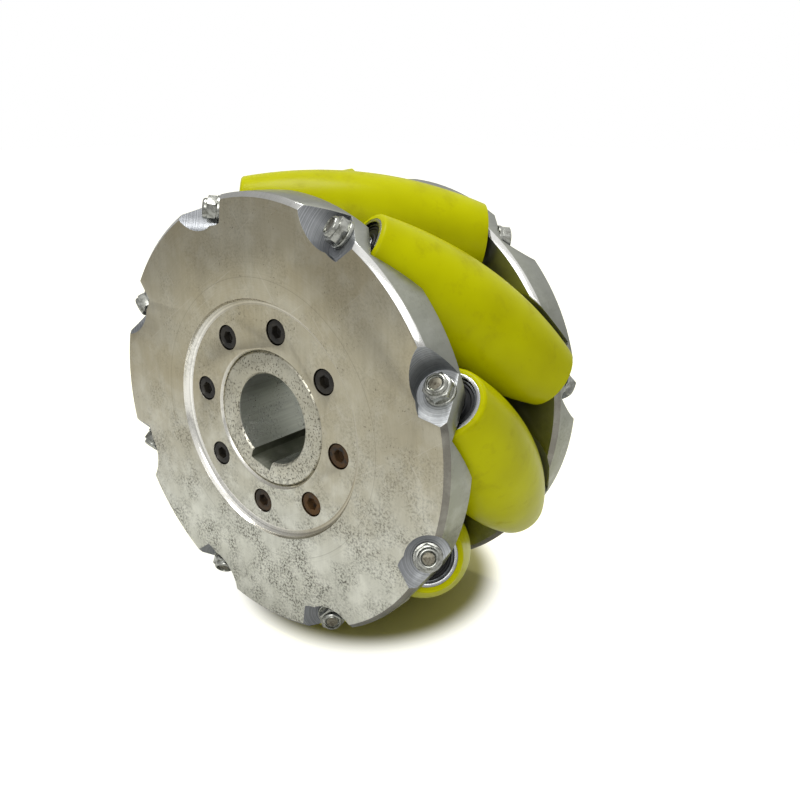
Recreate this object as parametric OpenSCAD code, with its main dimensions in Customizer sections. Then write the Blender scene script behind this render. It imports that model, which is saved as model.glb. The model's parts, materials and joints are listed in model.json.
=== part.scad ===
// Mecanum wheel. Two turned side plates are screwed to a keyed hub, and between
// them eight barrel-shaped rollers run on ball bearings, each on its own axle
// bolt that crosses the wheel at 45 degrees. The wheel spins about Y, its front
// plate faces -Y, and its centre is the origin.

/* [Wheel] */
// Diameter over the rollers
wheel_d = 203.2; // [198:0.1:210]
// Width over the outer faces of the side plates
wheel_w = 101; // [98:0.1:106]
// Number of rollers
roller_n = 8; // [7:1:9]
// Angle between each roller's axle and the wheel's axis
tilt = 45; // [43:1:47]
// Angle of the first roller about the wheel's axis
phase = -9.6; // [-22:0.1:22]

/* [Roller] */
// Largest diameter of a roller's tread
roller_d = 44; // [40:0.5:48]
// Length of a roller's tread
tread_l = 104; // [98:0.5:105]
// Radius of the rounded edge at each end of a tread
tread_edge = 1.6; // [0.5:0.1:2]
// Least thickness of a tread over its tube
tread_wall = 1.8; // [1:0.1:2]
// Outer diameter of the steel tube inside a tread
tube_d = 25; // [24:0.1:26]
// Inner diameter of the tube between its bearing seats
tube_bore = 19; // [17:0.1:20]
// Free length between a roller's end and the ear beside it
roller_gap = 1.4; // [1:0.1:2]

/* [Bearings] */
// Outer diameter of a bearing
bearing_d = 22; // [21:0.1:23]
// Width of a bearing
bearing_w = 7; // [5:0.5:9]
// Depth of a bearing below its roller's end
bearing_recess = 1; // [0.5:0.1:2]
// Outer diameter of a bearing's inner ring
inner_ring_d = 10.6; // [10:0.1:12]
// Inner diameter of a bearing's outer ring
outer_ring_bore = 19.6; // [18.5:0.1:20]
// Thickness of a bearing's rubber seals
seal_t = 0.8; // [0.4:0.1:1.2]
// Depth of a seal below the bearing's face
seal_recess = 0.4; // [0.2:0.1:0.8]
// Gap between a seal's lip and the inner ring
seal_gap = 0.2; // [0.1:0.05:0.4]
// Outer diameter of the tube that keeps two inner rings apart
spacer_d = 10.2; // [9:0.1:11]
// Outer diameter of the collar between a bearing and its ear
collar_d = 10; // [9:0.1:11]

/* [Axles] */
// Diameter of an axle bolt
axle_d = 6; // [5.5:0.1:6.4]
// Width across the flats of a bolt head
head_af = 10; // [9.5:0.1:11]
// Height of a bolt head
head_h = 4; // [3:0.1:5]
// Width across the flats of a lock nut
nut_af = 10; // [9.5:0.1:11]
// Height of the hexagon of a lock nut
nut_hex_h = 4; // [3:0.1:5]
// Height of the round crown on a lock nut, which holds its nylon ring
crown_h = 2; // [1.6:0.1:3]
// Outer diameter of the crown
crown_d = 8.8; // [8.6:0.1:9.2]
// Gap around the bolt in the mouth of the crown
mouth_gap = 0.3; // [0.2:0.05:0.4]
// Depth of the bolt's end below the mouth of the crown
thread_sunk = 0.5; // [0.2:0.1:1]
// Chamfer at the thread's end
thread_chamfer = 0.6; // [0.2:0.1:1]
// Diameter of a washer
washer_d = 12; // [11:0.1:13]
// Thickness of a washer
washer_t = 1.6; // [1:0.1:2]

/* [Side plates] */
// Diameter of a side plate
plate_d = 190; // [184:0.5:194]
// Thickness of a side plate
plate_t = 18; // [16:0.5:20]
// Chamfer on both edges of a plate's rim
rim_chamfer = 2; // [0.5:0.1:3]
// Diameter of the recess in a plate's outer face
recess_d = 105.4; // [100:0.1:112]
// Depth of the recess
recess_depth = 3; // [1.5:0.1:4]
// Thickness of the ear that each end of an axle bolt is clamped to
ear_t = 6; // [5:0.1:7]
// Diameter of the cutter that sinks the seats for nuts and bolt heads
cutter_d = 19; // [17:0.1:20]
// Shift of the cutter's second plunge along the wheel's radius
plunge_out = 4; // [2:0.1:6]
// Shift of the cutter's second plunge towards the plate's outer face
plunge_side = 5; // [3:0.1:7]
// Gap between a roller's end and the relief cut around it
relief_gap = 2.6; // [1.5:0.1:3]
// Angle at which the relief opens towards the middle of the roller
relief_angle = 14; // [10:0.5:18]

/* [Hub] */
// Diameter of the hub between the side plates
barrel_d = 100; // [94:0.5:106]
// Diameter of the spigots that centre the side plates
spigot_d = 60; // [56:0.5:64]
// Depth of a spigot's end below the floor of the recess
spigot_setback = 0.7; // [0.2:0.1:1.5]
// Diameter of the bore for the drive shaft
bore_d = 40; // [34:0.1:44]
// Width of the keyway
key_w = 12; // [8:0.1:14]
// Depth of the keyway below the bore's wall
key_depth = 3.3; // [2:0.1:4.5]
// Angle of the keyway about the wheel's axis
key_angle = -108.6; // [-180:0.1:180]
// Chamfer on the hub's turned edges
hub_chamfer = 1; // [0.3:0.1:2]

/* [Hub screws] */
// Number of screws in each side plate
screw_n = 8; // [6:1:10]
// Diameter of the circle of screws
screw_pcd = 80; // [78:0.5:84]
// Thread diameter of a screw
screw_d = 6; // [5:0.1:6.5]
// Length of a screw under its head
screw_l = 20; // [16:0.5:24]
// Diameter of a screw's head
screw_head_d = 10; // [9:0.1:10.5]
// Height of a screw's head
screw_head_h = 6; // [5:0.1:6.5]
// Width across the flats of a screw's hexagon socket
socket_af = 5; // [4:0.1:5.5]
// Depth of a screw's socket
socket_depth = 3; // [2:0.1:4]
// Diameter of the counterbores for the screw heads
counterbore_d = 11; // [10.8:0.1:12]
// Depth of the counterbores
counterbore_depth = 6.5; // [5.5:0.1:8]

/* [Hidden] */
$fn = 96;

// Radial clearance of pieces that slide or press together
fit = 0.02;
// Radial clearance of a bolt or a screw in its hole
hole_gap = 0.25;
// Overshoot of a cut past the face that it opens
cut = 1;
// Straight steps in half of a tread's curve, and in a small rounded edge
tread_steps = 10;
edge_steps = 4;
// Length of the cutters' straight sides, which is more than any cut needs
cutter_l = plate_d / 4;

wheel_r = wheel_d / 2;
axle_r = wheel_r - roller_d / 2;
plate_r = plate_d / 2;
barrel_l = wheel_w - 2 * plate_t;
hub_l = wheel_w - 2 * (recess_depth + spigot_setback);

// Places along an axle, measured from the roller's middle
ear_at = tread_l / 2 + roller_gap;
seat_at = ear_at + ear_t;
washer_end = seat_at + washer_t;
nut_h = nut_hex_h + crown_h;
axle_tip = washer_end + nut_h - thread_sunk;
bearing_out = tread_l / 2 - bearing_recess;
bearing_in = bearing_out - bearing_w;

TREAD_COLOUR = "#B9BB12";
ALUMINIUM_COLOUR = "#A9A69A";
HUB_COLOUR = "#BDBAAC";
STEEL_COLOUR = "#8F9192";
ZINC_COLOUR = "#A5A8A6";
SEAL_COLOUR = "#1C1C1D";
OXIDE_COLOUR = "#35302B";

function numbered(name) = [for (i = [1:roller_n]) str(name, "_", i)];

// ---- Places ----

// Turns a wheel built about Z, front side up, so that it spins about Y
module on_wheel() {
    rotate([90, 0, 0]) rotate([0, 0, phase]) children();
}

// Middle of roller i, with +Z along its axle to the front plate and +X outwards
module at_roller(i) {
    rotate([0, 0, i * 360 / roller_n]) translate([axle_r, 0, 0]) rotate([-tilt, 0, 0]) children();
}

module at_each_roller() {
    for (i = [0:roller_n - 1]) at_roller(i) children();
}

// Both ends of an axle: the front one as drawn, and the rear one turned round
module at_both_ends() {
    children();
    rotate([180, 0, 0]) children();
}

module at_each_screw() {
    for (i = [0:screw_n - 1]) rotate([0, 0, i * 360 / screw_n]) translate([screw_pcd / 2, 0, 0]) children();
}

// ---- Tread curve ----

// The tread just fills the wheel's cylinder as it turns about its axle. It touches
// the cylinder at angle a about the wheel's axis, measured from the roller's
// middle. Gives [distance along the axle, radius of the tread].
function envelope(a) = [
    wheel_r * sin(a) * sin(tilt) + axle_r * tan(a) * pow(cos(tilt), 2) / sin(tilt),
    (wheel_r - axle_r / cos(a)) * sqrt(pow(cos(a), 2) + pow(sin(a) * cos(tilt), 2))
];

// Angle a at which the tread's curve reaches a distance along the axle
function angle_at(distance, low = 0, high = 40, steps = 24) =
    steps == 0 ? (low + high) / 2 :
    let (middle = (low + high) / 2)
    envelope(middle)[0] < distance
        ? angle_at(distance, middle, high, steps - 1)
        : angle_at(distance, low, middle, steps - 1);

function tread_r(distance) =
    max(envelope(angle_at(abs(distance)))[1], tube_d / 2 + tread_wall);

// Slope of the curve at the tread's end, and the centre of the rounded edge there
end_slope = atan((tread_r(tread_l / 2 - tread_edge) - tread_r(tread_l / 2)) / tread_edge);
edge_at = tread_l / 2 - tread_edge;
curve_end = edge_at + tread_edge * sin(end_slope);
edge_r = tread_r(curve_end) - tread_edge * cos(end_slope);

function edge_point(turn) = [edge_r + tread_edge * cos(turn), edge_at + tread_edge * sin(turn)];

// ---- Shapes that repeat ----

module ring(outer_d, inner_d, height) {
    difference() {
        cylinder(d = outer_d, h = height);
        translate([0, 0, -cut]) cylinder(d = inner_d, h = height + 2 * cut);
    }
}

// Hexagon with its corners turned down on the top, and on the bottom too for a nut
module hexagon(across_flats, height, both_sides) {
    corner_r = across_flats / 2 / cos(30);
    chamfer = corner_r - across_flats / 2;
    intersection() {
        cylinder(r = corner_r, h = height, $fn = 6);
        rotate_extrude() polygon([
            [0, 0],
            [both_sides ? across_flats / 2 : corner_r, 0],
            [corner_r, both_sides ? chamfer / 2 : 0],
            [corner_r, height - chamfer / 2],
            [across_flats / 2, height],
            [0, height]
        ]);
    }
}

// ---- Side plates ----

// Turned blank: its inner face lies on the hub, and its outer face has the recess
module plate_blank() {
    inner_face = wheel_w / 2 - plate_t;
    outer_face = wheel_w / 2;
    floor_z = outer_face - recess_depth;
    bore_r = spigot_d / 2 + fit;
    rotate_extrude() polygon(concat(
        [
            [bore_r, inner_face],
            [plate_r - rim_chamfer, inner_face],
            [plate_r, inner_face + rim_chamfer],
            [plate_r, outer_face - rim_chamfer],
            [plate_r - rim_chamfer, outer_face]
        ],
        [for (j = [0:edge_steps]) let (turn = j * 90 / edge_steps)
            [recess_d / 2 - recess_depth * (1 - cos(turn)), outer_face - recess_depth * sin(turn)]],
        [
            [bore_r + hub_chamfer, floor_z],
            [bore_r, floor_z - hub_chamfer]
        ]
    ));
}

// Seat for a nut or a bolt head, sunk along the axle in two plunges of one cutter
module seat_cut() {
    for (shift = [[0, 0], [plunge_out, -plunge_side]])
        translate([shift[0], shift[1], seat_at]) cylinder(d = cutter_d, h = cutter_l);
}

// Room for a roller's end, which leaves a flat ear square to the axle
module relief_cut() {
    end_r = tread_r(tread_l / 2) + relief_gap;
    translate([0, 0, ear_at - cutter_l])
        cylinder(r1 = end_r + cutter_l * tan(relief_angle), r2 = end_r, h = cutter_l);
}

module side_plate() {
    seat_z = wheel_w / 2 - recess_depth - counterbore_depth;
    difference() {
        plate_blank();
        at_each_roller() {
            seat_cut();
            relief_cut();
            cylinder(d = axle_d + 2 * hole_gap, h = seat_at + cut);
        }
        at_each_screw() {
            translate([0, 0, seat_z]) cylinder(d = counterbore_d, h = counterbore_depth + cut);
            cylinder(d = screw_d + 2 * hole_gap, h = wheel_w / 2);
        }
    }
}

module front_plate() {
    color(ALUMINIUM_COLOUR) on_wheel() side_plate();
}

// The rear plate is the same piece, turned round
module rear_plate() {
    color(ALUMINIUM_COLOUR) on_wheel() rotate([180, 0, 0]) side_plate();
}

// ---- Hub ----

module hub_blank() {
    bore_r = bore_d / 2;
    spigot_r = spigot_d / 2;
    half = [
        [spigot_r, barrel_l / 2],
        [spigot_r, hub_l / 2 - hub_chamfer],
        [spigot_r - hub_chamfer, hub_l / 2],
        [bore_r + hub_chamfer, hub_l / 2],
        [bore_r, hub_l / 2 - hub_chamfer]
    ];
    rotate_extrude() polygon(concat(
        [
            [barrel_d / 2, -barrel_l / 2 + hub_chamfer],
            [barrel_d / 2, barrel_l / 2 - hub_chamfer],
            [barrel_d / 2 - hub_chamfer, barrel_l / 2]
        ],
        half,
        [for (j = [len(half) - 1:-1:0]) [half[j][0], -half[j][1]]],
        [[barrel_d / 2 - hub_chamfer, -barrel_l / 2]]
    ));
}

module hub() {
    screw_end = wheel_w / 2 - recess_depth - counterbore_depth - screw_l;
    color(HUB_COLOUR) on_wheel() difference() {
        hub_blank();
        rotate([0, 0, key_angle - phase]) translate([0, -key_w / 2, -hub_l / 2 - cut])
            cube([bore_d / 2 + key_depth, key_w, hub_l + 2 * cut]);
        at_both_ends() at_each_screw() translate([0, 0, screw_end - cut])
            cylinder(d = screw_d + 2 * fit, h = barrel_l);
    }
}

// Screws of one side plate, with hexagon sockets
module hub_screws() {
    seat_z = wheel_w / 2 - recess_depth - counterbore_depth;
    at_each_screw() difference() {
        union() {
            translate([0, 0, seat_z - screw_l]) cylinder(d = screw_d, h = screw_l + cut);
            translate([0, 0, seat_z]) cylinder(d = screw_head_d, h = screw_head_h);
        }
        translate([0, 0, seat_z + screw_head_h - socket_depth])
            cylinder(r = socket_af / 2 / cos(30), h = socket_depth + cut, $fn = 6);
    }
}

module front_hub_screws() {
    color(OXIDE_COLOUR) on_wheel() hub_screws();
}

module rear_hub_screws() {
    color(OXIDE_COLOUR) on_wheel() rotate([180, 0, 0]) hub_screws();
}

// ---- Axles ----

// Hexagon bolt with its head on the rear plate
module axle_bolt(i) {
    color(ZINC_COLOUR) on_wheel() at_roller(i) {
        rotate([180, 0, 0]) translate([0, 0, washer_end]) hexagon(head_af, head_h, false);
        rotate_extrude() polygon([
            [0, -washer_end - cut],
            [axle_d / 2, -washer_end - cut],
            [axle_d / 2, axle_tip - thread_chamfer],
            [axle_d / 2 - thread_chamfer, axle_tip],
            [0, axle_tip]
        ]);
    }
}

// Nut with a crown rolled over its nylon ring; the crown is open down to the full thread
module lock_nut() {
    mouth_r = axle_d / 2 + mouth_gap;
    roll = crown_d / 2 - mouth_r;
    difference() {
        union() {
            hexagon(nut_af, nut_hex_h, true);
            rotate_extrude() polygon(concat(
                [[0, nut_h], [0, nut_hex_h / 2], [crown_d / 2, nut_hex_h / 2]],
                [for (j = [0:edge_steps]) let (turn = j * 90 / edge_steps)
                    [mouth_r + roll * cos(turn), nut_h - roll + roll * sin(turn)]]
            ));
        }
        translate([0, 0, -cut]) cylinder(d = axle_d + 2 * fit, h = nut_h + 2 * cut);
        translate([0, 0, nut_h - thread_sunk - thread_chamfer]) cylinder(r = mouth_r, h = nut_h);
    }
}

module lock_nuts() {
    color(ZINC_COLOUR) on_wheel() at_each_roller() translate([0, 0, washer_end]) lock_nut();
}

module washer() {
    translate([0, 0, seat_at]) ring(washer_d, axle_d + 2 * hole_gap, washer_t);
}

module front_washers() {
    color(ZINC_COLOUR) on_wheel() at_each_roller() washer();
}

module rear_washers() {
    color(ZINC_COLOUR) on_wheel() at_each_roller() rotate([180, 0, 0]) washer();
}

// Collars that keep the inner rings clear of the ears
module axle_collars() {
    color(STEEL_COLOUR) on_wheel() at_each_roller() at_both_ends()
        translate([0, 0, bearing_out]) ring(collar_d, axle_d + 2 * fit, ear_at - bearing_out);
}

// Tubes on the axles that keep the inner rings of a roller apart
module bearing_spacers() {
    color(STEEL_COLOUR) on_wheel() at_each_roller()
        translate([0, 0, -bearing_in]) ring(spacer_d, axle_d + 2 * fit, 2 * bearing_in);
}

module bearing_inner_rings(i) {
    color(STEEL_COLOUR) on_wheel() at_roller(i) at_both_ends()
        translate([0, 0, bearing_in]) ring(inner_ring_d, axle_d + 2 * fit, bearing_w);
}

// ---- Rollers ----

module bearing_outer_rings(i) {
    color(STEEL_COLOUR) on_wheel() at_roller(i) at_both_ends()
        translate([0, 0, bearing_in]) ring(bearing_d, outer_ring_bore, bearing_w);
}

// Rubber seals pressed into both sides of each outer ring, nearly down to the inner ring
module bearing_seals(i) {
    color(SEAL_COLOUR) on_wheel() at_roller(i) at_both_ends()
        for (depth = [seal_recess, bearing_w - seal_recess - seal_t])
            translate([0, 0, bearing_out - depth - seal_t])
                ring(outer_ring_bore, inner_ring_d + 2 * seal_gap, seal_t);
}

// Steel tube with a bearing seat bored in each end
module roller_tube(i) {
    half = [
        [bearing_d / 2 + fit, tread_l / 2],
        [bearing_d / 2 + fit, bearing_in],
        [tube_bore / 2, bearing_in]
    ];
    color(STEEL_COLOUR) on_wheel() at_roller(i) rotate_extrude() polygon(concat(
        [[tube_d / 2, -tread_l / 2], [tube_d / 2, tread_l / 2]],
        half,
        [for (j = [len(half) - 1:-1:0]) [half[j][0], -half[j][1]]]
    ));
}

// Polyurethane tread moulded on the tube
module roller_tread(i) {
    edge = [for (j = [1:edge_steps]) edge_point(end_slope + j * (90 - end_slope) / edge_steps)];
    color(TREAD_COLOUR) on_wheel() at_roller(i) rotate_extrude() polygon(concat(
        [[tube_d / 2, -tread_l / 2]],
        [for (j = [edge_steps - 1:-1:0]) [edge[j][0], -edge[j][1]]],
        [for (j = [-tread_steps:tread_steps]) let (distance = j * curve_end / tread_steps)
            [tread_r(distance), distance]],
        edge,
        [[tube_d / 2, tread_l / 2]]
    ));
}

// ---- Assembly ----

front_plate();
rear_plate();
hub();
front_hub_screws();
rear_hub_screws();
for (i = [0:roller_n - 1]) {
    axle_bolt(i);
    roller_tread(i);
    roller_tube(i);
    bearing_outer_rings(i);
    bearing_seals(i);
    bearing_inner_rings(i);
}
bearing_spacers();
axle_collars();
lock_nuts();
front_washers();
rear_washers();
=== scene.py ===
# %% [markdown]
# # A mecanum wheel
# Two turned aluminium plates hold eight barrel-shaped rollers at 45 degrees to the
# wheel's axis. The solids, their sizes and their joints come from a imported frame. This
# lesson gives them the form and finish of the real pieces: cast polyurethane, turned
# and milled aluminium, ground bearing steel, zinc-plated fasteners and black screws.

# %% Load the frame
import json
import math

import bmesh
import bpy
from mathutils import Matrix, Vector


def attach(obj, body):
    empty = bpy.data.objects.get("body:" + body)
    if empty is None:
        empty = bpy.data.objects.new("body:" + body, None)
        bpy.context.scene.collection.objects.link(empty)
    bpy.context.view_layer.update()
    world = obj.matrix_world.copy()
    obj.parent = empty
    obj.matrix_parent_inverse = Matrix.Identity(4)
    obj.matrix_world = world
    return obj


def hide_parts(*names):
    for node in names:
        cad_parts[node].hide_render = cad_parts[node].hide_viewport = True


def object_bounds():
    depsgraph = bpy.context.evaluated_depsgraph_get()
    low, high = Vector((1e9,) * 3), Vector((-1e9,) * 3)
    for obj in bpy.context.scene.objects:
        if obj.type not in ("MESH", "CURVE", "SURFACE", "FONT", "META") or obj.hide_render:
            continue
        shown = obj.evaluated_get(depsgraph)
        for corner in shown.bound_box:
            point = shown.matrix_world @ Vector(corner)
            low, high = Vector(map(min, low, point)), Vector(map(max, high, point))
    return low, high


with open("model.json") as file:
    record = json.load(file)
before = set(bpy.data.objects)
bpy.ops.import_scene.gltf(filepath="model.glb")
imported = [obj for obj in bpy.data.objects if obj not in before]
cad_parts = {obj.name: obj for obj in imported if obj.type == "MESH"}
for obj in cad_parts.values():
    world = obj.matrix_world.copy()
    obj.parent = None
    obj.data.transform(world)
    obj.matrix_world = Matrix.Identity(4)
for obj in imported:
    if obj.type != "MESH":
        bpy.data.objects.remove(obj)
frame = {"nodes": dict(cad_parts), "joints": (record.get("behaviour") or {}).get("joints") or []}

MM = 0.001
WELD = 0.001 * MM        # points nearer than this are one point
cad_low, cad_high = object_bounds()

# %% [markdown]
# ## Measure the frame
# Places and nearly all sizes are measured on the frame. A roller's joint gives the line of
# its axle, and a node's own vertices give its lengths and radii about such a line.

# %% Places and sizes
WHEEL_AXIS = Vector((0, 1, 0))
BODIES = [joint["child"] for joint in frame["joints"]]


def number_of(body):
    """The number at the end of a roller's name."""
    return body.split("_")[-1]


def axle_frame(joint):
    """The roller's own axes: X away from the wheel's axis, Z along the axle to the front."""
    middle = Vector(joint["pos_m"])
    z_axis = Vector(joint["axis"]).normalized()
    x_axis = middle.normalized()
    y_axis = z_axis.cross(x_axis)
    turn = Matrix((x_axis, y_axis, z_axis)).transposed().to_4x4()
    return Matrix.Translation(middle) @ turn


def measure(node, place, within=1.0):
    """Lowest and highest distance along a frame's Z, and least and greatest radius about it.

    Only what lies within a radius in metres counts, so that one of eight washers can be
    measured.
    """
    to_place = place.inverted()
    local = [to_place @ vertex.co for vertex in frame["nodes"][node].data.vertices]
    near = [point for point in local if math.hypot(point.x, point.y) < within]
    heights = [point.z for point in near]
    radii = [math.hypot(point.x, point.y) for point in near]
    return min(heights), max(heights), min(radii), max(radii)


AXLES = {joint["child"]: axle_frame(joint) for joint in frame["joints"]}
first_axle = AXLES[BODIES[0]]
wheel_frame = Matrix.Rotation(math.pi / 2, 4, "X")
axle_radius = Vector(frame["joints"][0]["pos_m"]).length
tilt = Vector(frame["joints"][0]["axis"]).angle(-WHEEL_AXIS)
wheel_radius = measure("roller_tread_1", wheel_frame)[3]
_, tread_end, tube_radius, _ = measure("roller_tread_1", first_axle)
print(f"wheel radius {wheel_radius / MM:.2f} mm, axles at {axle_radius / MM:.2f} mm, "
      f"tilt {math.degrees(tilt):.1f} degrees, tread {2 * tread_end / MM:.1f} mm long")

# %% [markdown]
# ## Two small helpers
# Node trees are built by one function that adds a node, sets it and links it. Colours are
# written as the sRGB hex values a painter would pick, and one function makes them linear.

# %% Add a node, turn a colour linear


def add(tree, kind, inputs=None, **settings):
    """A new node. inputs maps a socket's name or number to a value, a socket or a node."""
    node = tree.nodes.new(kind)
    for name, value in settings.items():
        setattr(node, name, value)
    for key, value in (inputs or {}).items():
        if isinstance(value, bpy.types.Node):
            value = value.outputs[0]
        if isinstance(value, bpy.types.NodeSocket):
            tree.links.new(value, node.inputs[key])
        else:
            node.inputs[key].default_value = value
    return node


def linear(hex_colour):
    """The linear RGBA of an sRGB colour such as #B9BC10."""
    shares = [int(hex_colour[i:i + 2], 16) / 255 for i in (1, 3, 5)]
    return (*[s / 12.92 if s <= 0.04045 else ((s + 0.055) / 1.055) ** 2.4 for s in shares], 1)


# %% [markdown]
# ## Camera, floor and light
# The wheel stands on its rollers and is seen from the right and a little from above. The
# camera's place is given by its angles round the wheel, its distance and what it aims at.

# %% Camera
AZIMUTH = math.radians(37.93)
ELEVATION = math.radians(18.57)
DISTANCE = 372.1 * MM
AIM = Vector((33.57, 0.4, 3.33)) * MM
LENS = 37.71             # focal length in mm
SENSOR_WIDTH = 36        # in mm

backwards = Vector((
    math.sin(AZIMUTH) * math.cos(ELEVATION),
    -math.cos(AZIMUTH) * math.cos(ELEVATION),
    math.sin(ELEVATION),
))
camera = bpy.data.objects.new("camera", bpy.data.cameras.new("camera"))
camera.data.lens = LENS
camera.data.sensor_width = SENSOR_WIDTH
camera.data.clip_start = 10 * MM
camera.location = AIM + DISTANCE * backwards
camera.rotation_euler = backwards.to_track_quat("Z", "Y").to_euler()
scene = bpy.context.scene
scene.collection.objects.link(camera)
scene.camera = camera
scene.view_settings.view_transform = "Standard"
print("camera at", [round(share / MM) for share in camera.location], "mm")

# %% [markdown]
# The floor is a plain pale sheet. Seen by the camera it fades to white outside an ellipse
# under the wheel, so that only the near shadow shows, and inside the ellipse it is toned
# down to the olive that the yellow rollers throw into their own shadow. The light that
# reaches the wheel from below still comes from the pale sheet.

# %% Floor
FLOOR_SIZE = 12.0                 # in metres
PAPER = "#EEEEEC"
SHADED_PAPER = "#AAA56E"
SHADE_RIGHT = 11.5 * MM           # the ellipse's middle, to the right of the wheel's
SHADE_NEARER = -17 * MM           # and nearer to the camera: here, farther
SHADE_WIDTH = 57 * MM             # its half axes in the same two directions
SHADE_DEPTH = 63 * MM
FADE_START = 0.96                 # the fade to white, in shares of the half axes
FADE_END = 1.26

floor_mesh = bpy.data.meshes.new("floor")
corner = FLOOR_SIZE / 2
corners = ((-corner, -corner), (corner, -corner), (corner, corner), (-corner, corner))
floor_mesh.from_pydata([(x, y, cad_low[2]) for x, y in corners], [], [(0, 1, 2, 3)])
floor = bpy.data.objects.new("floor", floor_mesh)
scene.collection.objects.link(floor)

paper = bpy.data.materials.new("white_paper")
paper.use_nodes = True
tree = paper.node_tree
tree.nodes.clear()
to_camera = add(tree, "ShaderNodeLightPath").outputs["Is Camera Ray"]
place = add(tree, "ShaderNodeTexCoord").outputs["Object"]
sideways = add(tree, "ShaderNodeVectorMath", {
    0: place, 1: (math.cos(AZIMUTH), math.sin(AZIMUTH), 0)}, operation="DOT_PRODUCT")
nearer = add(tree, "ShaderNodeVectorMath", {
    0: place, 1: (math.sin(AZIMUTH), -math.cos(AZIMUTH), 0)}, operation="DOT_PRODUCT")
spot = add(tree, "ShaderNodeCombineXYZ", {
    0: sideways.outputs["Value"], 1: nearer.outputs["Value"]})
spot = add(tree, "ShaderNodeVectorMath", {
    0: spot, 1: (SHADE_RIGHT, SHADE_NEARER, 0)}, operation="SUBTRACT")
spot = add(tree, "ShaderNodeVectorMath", {
    0: spot, 1: (SHADE_WIDTH, SHADE_DEPTH, 1)}, operation="DIVIDE")
away = add(tree, "ShaderNodeVectorMath", {0: spot}, operation="LENGTH").outputs["Value"]
fade = add(tree, "ShaderNodeMapRange", {
    "Value": away, "From Min": FADE_START, "From Max": FADE_END}, interpolation_type="SMOOTHSTEP")
glow = add(tree, "ShaderNodeMath", {0: to_camera, 1: fade}, operation="MULTIPLY")
tint = add(tree, "ShaderNodeMix", {
    0: to_camera, 6: linear(PAPER), 7: linear(SHADED_PAPER)}, data_type="RGBA").outputs[2]
matt = add(tree, "ShaderNodeBsdfDiffuse", {"Color": tint})
lift = add(tree, "ShaderNodeEmission", {"Color": (1, 1, 1, 1), "Strength": glow})
surface = add(tree, "ShaderNodeAddShader", {0: matt, 1: lift})
add(tree, "ShaderNodeOutputMaterial", {"Surface": surface})
floor_mesh.materials.append(paper)
print(f"floor: {FLOOR_SIZE:.0f} m square, {cad_low[2] / MM:.1f} mm below the wheel's axis")

# %% [markdown]
# The world is white to the camera. It lights the wheel softly and evenly. In reflections it
# is bright overhead and darker at the horizon and on the left, as a room is, which gives
# the metal its range of tones. A large softbox above gives the highlights and the shadow,
# and a weaker one in front opens the near faces.

# %% World and lamps
SKY_LIGHT = 0.46         # strength of the world's light on matt surfaces
SKY_MIRRORED = 0.50      # strength in reflections at its darkest
SKY_RISE = 0.60          # and how much more at its brightest
TOP = 0.7                # height of a direction, of 1, from which it is brightest
DARK_LEFT = -0.6         # how far to the left it stays darkest
BRIGHT_RIGHT = 0.1       # and from where it is brightest

world = bpy.data.worlds.new("studio")
scene.world = world
world.use_nodes = True
tree = world.node_tree
tree.nodes.clear()
rays = add(tree, "ShaderNodeLightPath").outputs
direction = add(tree, "ShaderNodeTexCoord").outputs["Generated"]
direction = add(tree, "ShaderNodeSeparateXYZ", {0: direction}).outputs
upwards = add(tree, "ShaderNodeMapRange", {"Value": direction[2], "From Max": TOP})
sideways = add(tree, "ShaderNodeMapRange", {
    "Value": direction[0], "From Min": DARK_LEFT, "From Max": BRIGHT_RIGHT})
bright = add(tree, "ShaderNodeMath", {0: upwards, 1: sideways}, operation="MULTIPLY")
mirrored = add(tree, "ShaderNodeMath", {
    0: bright, 1: SKY_RISE, 2: SKY_MIRRORED}, operation="MULTIPLY_ADD")
clear = add(tree, "ShaderNodeMath", {
    0: rays["Is Camera Ray"], 1: rays["Is Transmission Ray"]}, operation="MAXIMUM")
strength = add(tree, "ShaderNodeMix", {0: rays["Is Glossy Ray"], 2: SKY_LIGHT, 3: mirrored})
strength = add(tree, "ShaderNodeMix", {0: clear, 2: strength, 3: 1.0})
sky = add(tree, "ShaderNodeBackground", {"Color": (1, 1, 1, 1), "Strength": strength})
add(tree, "ShaderNodeOutputWorld", {"Surface": sky})


def softbox(name, place, size, watts):
    """A square area lamp that faces the middle of the wheel, placed and sized in metres."""
    lamp = bpy.data.lights.new(name, "AREA")
    lamp.size = size
    lamp.energy = watts
    holder = bpy.data.objects.new(name, lamp)
    holder.location = place
    holder.rotation_euler = Vector(place).to_track_quat("Z", "Y").to_euler()
    scene.collection.objects.link(holder)
    print(f"{name}: {size} m wide, {watts} W")


softbox("key_softbox", place=(-0.16, 0.0, 1.15), size=0.45, watts=9.0)
softbox("front_softbox", place=(0.67, -0.94, 0.85), size=0.7, watts=5.0)

# %% [markdown]
# ## Geometry Nodes: a lathe
# Tubes, rings and washers are turned parts, so one tree turns a profile about the Z axis.
# The profile is a closed line drawn in the XY plane, X being the radius and Y the height.
# The tree rounds its corners, sweeps it round a circle and gives the result its material.
# A swept profile lies on its circle, so it is first moved in by the circle's radius.

# %% The lathe tree
SWEEP_RADIUS = 1.0       # in metres; the moved profile cancels it


def new_tree(name, sizes):
    """A geometry tree with Geometry and Material sockets, and one more for each named size."""
    tree = bpy.data.node_groups.new(name, "GeometryNodeTree")
    tree.interface.new_socket("Geometry", in_out="INPUT", socket_type="NodeSocketGeometry")
    for size, kind in sizes.items():
        tree.interface.new_socket(size, in_out="INPUT", socket_type="NodeSocket" + kind)
    tree.interface.new_socket("Material", in_out="INPUT", socket_type="NodeSocketMaterial")
    tree.interface.new_socket("Geometry", in_out="OUTPUT", socket_type="NodeSocketGeometry")
    return tree, add(tree, "NodeGroupInput").outputs


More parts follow.
